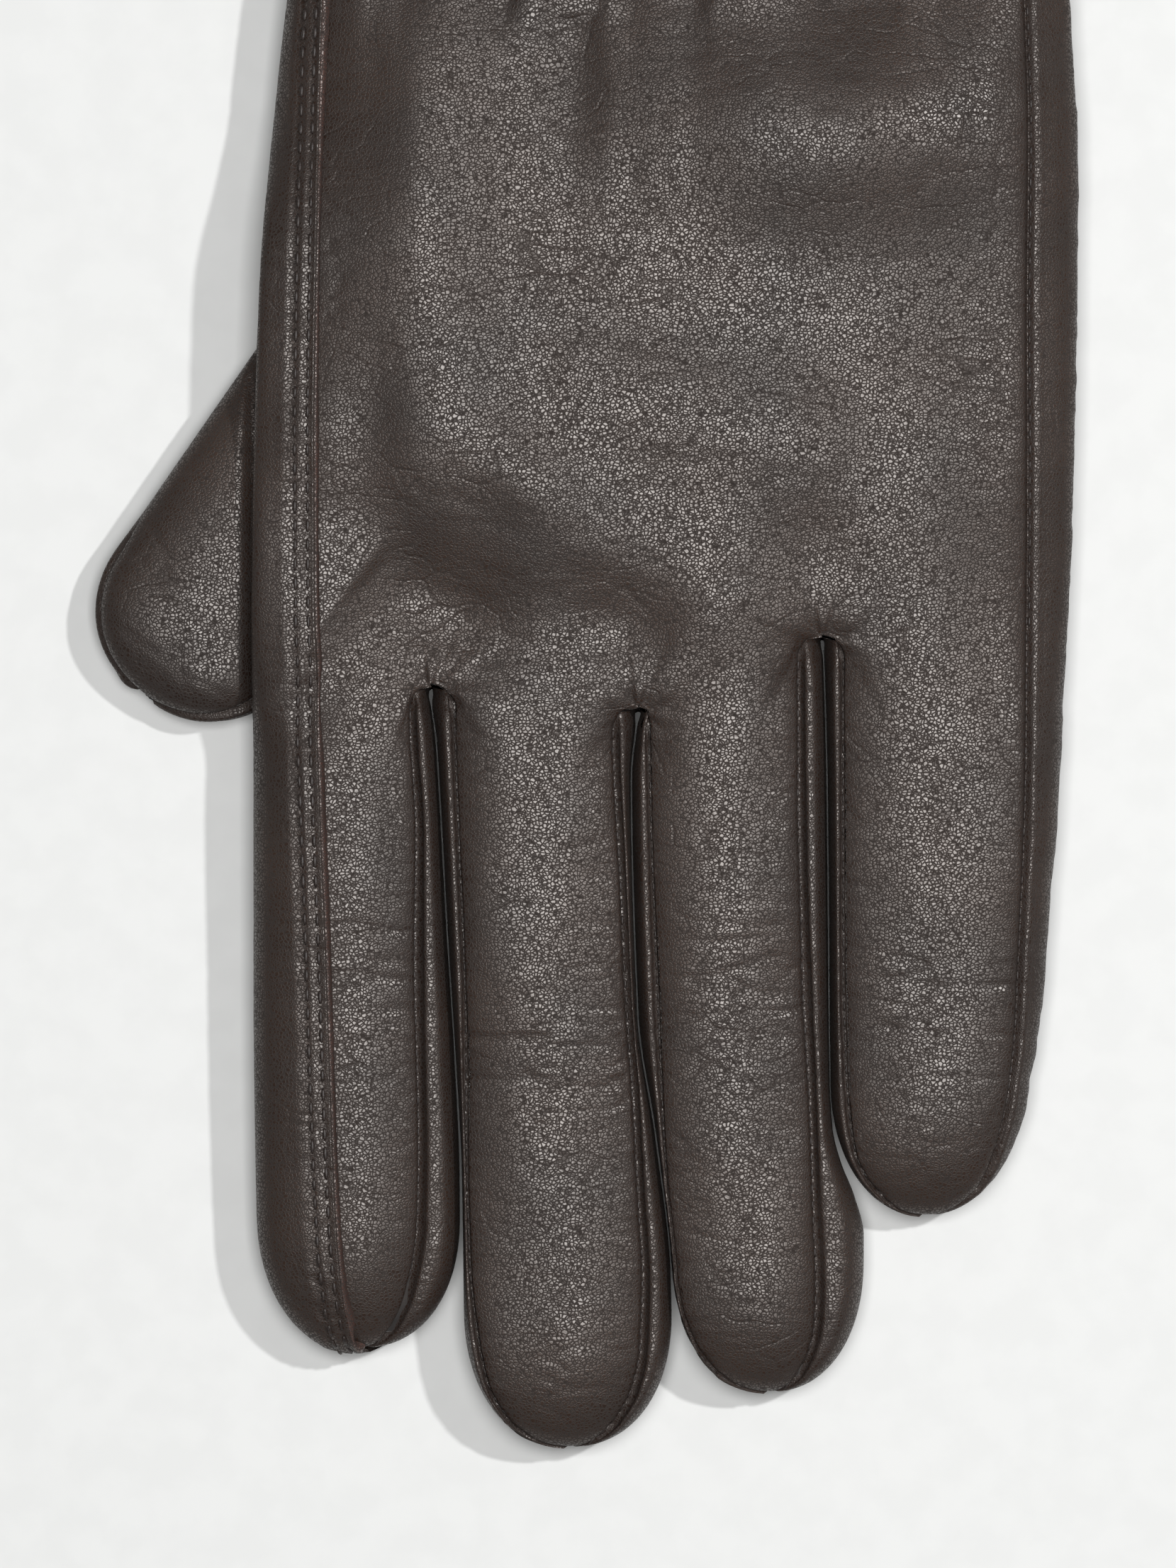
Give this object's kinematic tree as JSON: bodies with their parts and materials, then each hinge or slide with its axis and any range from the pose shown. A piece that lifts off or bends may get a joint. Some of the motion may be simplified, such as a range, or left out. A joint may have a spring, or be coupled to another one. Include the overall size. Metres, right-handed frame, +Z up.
{
  "type": "touchscreen glove",
  "caption": "Left-hand dark brown leather dress glove with knit lining, fourchette fingers, elastic wrist and touch pads in thumb and index tips, laid flat palm down",
  "frame": {"origin": "centre of the bounding box on the resting plane, palm side down", "axes": "+X towards the little finger side, +Y towards the cuff, +Z up out of the back of the hand"},
  "size_m": [0.1198, 0.2456, 0.0211],
  "materials": {
    "brown_leather": "fine pebbled grain leather, satin",
    "knit_lining": "soft brushed knit, matt",
    "elastic_band": "ribbed woven elastic, matt",
    "touch_fabric": "woven conductive patch, matt with a faint metal glint",
    "label_fabric": "satin woven tape, blank"
  },
  "bodies": {
    "hand": {"back_panel": "brown_leather", "palm_panel": "brown_leather", "index_side_strip_hand": "brown_leather", "little_side_strip_hand": "brown_leather", "hand_lining": "knit_lining", "wrist_elastic": "elastic_band", "cuff_hem": "brown_leather", "care_label": "label_fabric"},
    "index_base": {"index_back_base": "brown_leather", "index_inner_fourchette_base": "brown_leather", "index_lining_base": "knit_lining", "index_palm_base": "brown_leather", "index_side_strip_base": "brown_leather"},
    "index_tip": {"index_back_tip": "brown_leather", "index_inner_fourchette_tip": "brown_leather", "index_lining_tip": "knit_lining", "index_palm_tip": "brown_leather", "index_side_strip_tip": "brown_leather", "index_touch_pad": "touch_fabric"},
    "middle_base": {"middle_back_base": "brown_leather", "middle_inner_fourchette_base": "brown_leather", "middle_lining_base": "knit_lining", "middle_outer_fourchette_base": "brown_leather", "middle_palm_base": "brown_leather"},
    "middle_tip": {"middle_back_tip": "brown_leather", "middle_inner_fourchette_tip": "brown_leather", "middle_lining_tip": "knit_lining", "middle_outer_fourchette_tip": "brown_leather", "middle_palm_tip": "brown_leather"},
    "ring_base": {"ring_back_base": "brown_leather", "ring_inner_fourchette_base": "brown_leather", "ring_lining_base": "knit_lining", "ring_outer_fourchette_base": "brown_leather", "ring_palm_base": "brown_leather"},
    "ring_tip": {"ring_back_tip": "brown_leather", "ring_inner_fourchette_tip": "brown_leather", "ring_lining_tip": "knit_lining", "ring_outer_fourchette_tip": "brown_leather", "ring_palm_tip": "brown_leather"},
    "little_base": {"little_back_base": "brown_leather", "little_lining_base": "knit_lining", "little_outer_fourchette_base": "brown_leather", "little_palm_base": "brown_leather", "little_side_strip_base": "brown_leather"},
    "little_tip": {"little_back_tip": "brown_leather", "little_lining_tip": "knit_lining", "little_outer_fourchette_tip": "brown_leather", "little_palm_tip": "brown_leather", "little_side_strip_tip": "brown_leather"},
    "thumb_base": {"thumb_back_base": "brown_leather", "thumb_inner_side_base": "brown_leather", "thumb_lining_base": "knit_lining", "thumb_outer_side_base": "brown_leather", "thumb_palm_base": "brown_leather"},
    "thumb_tip": {"thumb_back_tip": "brown_leather", "thumb_inner_side_tip": "brown_leather", "thumb_lining_tip": "knit_lining", "thumb_outer_side_tip": "brown_leather", "thumb_palm_tip": "brown_leather", "thumb_touch_pad": "touch_fabric"}
  },
  "joints": [
    {"name": "index_knuckle_bend", "type": "hinge", "parent": "hand", "child": "index_base", "pos_m": [-0.0292, -0.0385, 0], "axis": [1, 0, 0], "range_deg": [0, 75]},
    {"name": "index_middle_bend", "type": "hinge", "parent": "index_base", "child": "index_tip", "pos_m": [-0.0292, -0.066, 0], "axis": [1, 0, 0], "range_deg": [0, 80]},
    {"name": "middle_knuckle_bend", "type": "hinge", "parent": "hand", "child": "middle_base", "pos_m": [-0.0062, -0.0385, 0], "axis": [1, 0, 0], "range_deg": [0, 75]},
    {"name": "middle_middle_bend", "type": "hinge", "parent": "middle_base", "child": "middle_tip", "pos_m": [-0.0062, -0.076, 0], "axis": [1, 0, 0], "range_deg": [0, 80]},
    {"name": "ring_knuckle_bend", "type": "hinge", "parent": "hand", "child": "ring_base", "pos_m": [0.0172, -0.0385, 0], "axis": [1, 0, 0], "range_deg": [0, 75]},
    {"name": "ring_middle_bend", "type": "hinge", "parent": "ring_base", "child": "ring_tip", "pos_m": [0.0172, -0.072, 0], "axis": [1, 0, 0], "range_deg": [0, 80]},
    {"name": "little_knuckle_bend", "type": "hinge", "parent": "hand", "child": "little_base", "pos_m": [0.0436, -0.0385, 0], "axis": [1, 0, 0], "range_deg": [0, 75]},
    {"name": "little_middle_bend", "type": "hinge", "parent": "little_base", "child": "little_tip", "pos_m": [0.0436, -0.062, 0], "axis": [1, 0, 0], "range_deg": [0, 80]},
    {"name": "thumb_swing", "type": "hinge", "parent": "hand", "child": "thumb_base", "pos_m": [-0.023, 0.013, 0], "axis": [0, 0, -1], "range_deg": [0, 40]},
    {"name": "thumb_bend", "type": "hinge", "parent": "thumb_base", "child": "thumb_tip", "pos_m": [-0.03439, -0.00344, 0], "axis": [0.8221, -0.5693, 0], "range_deg": [0, 65]}
  ]
}
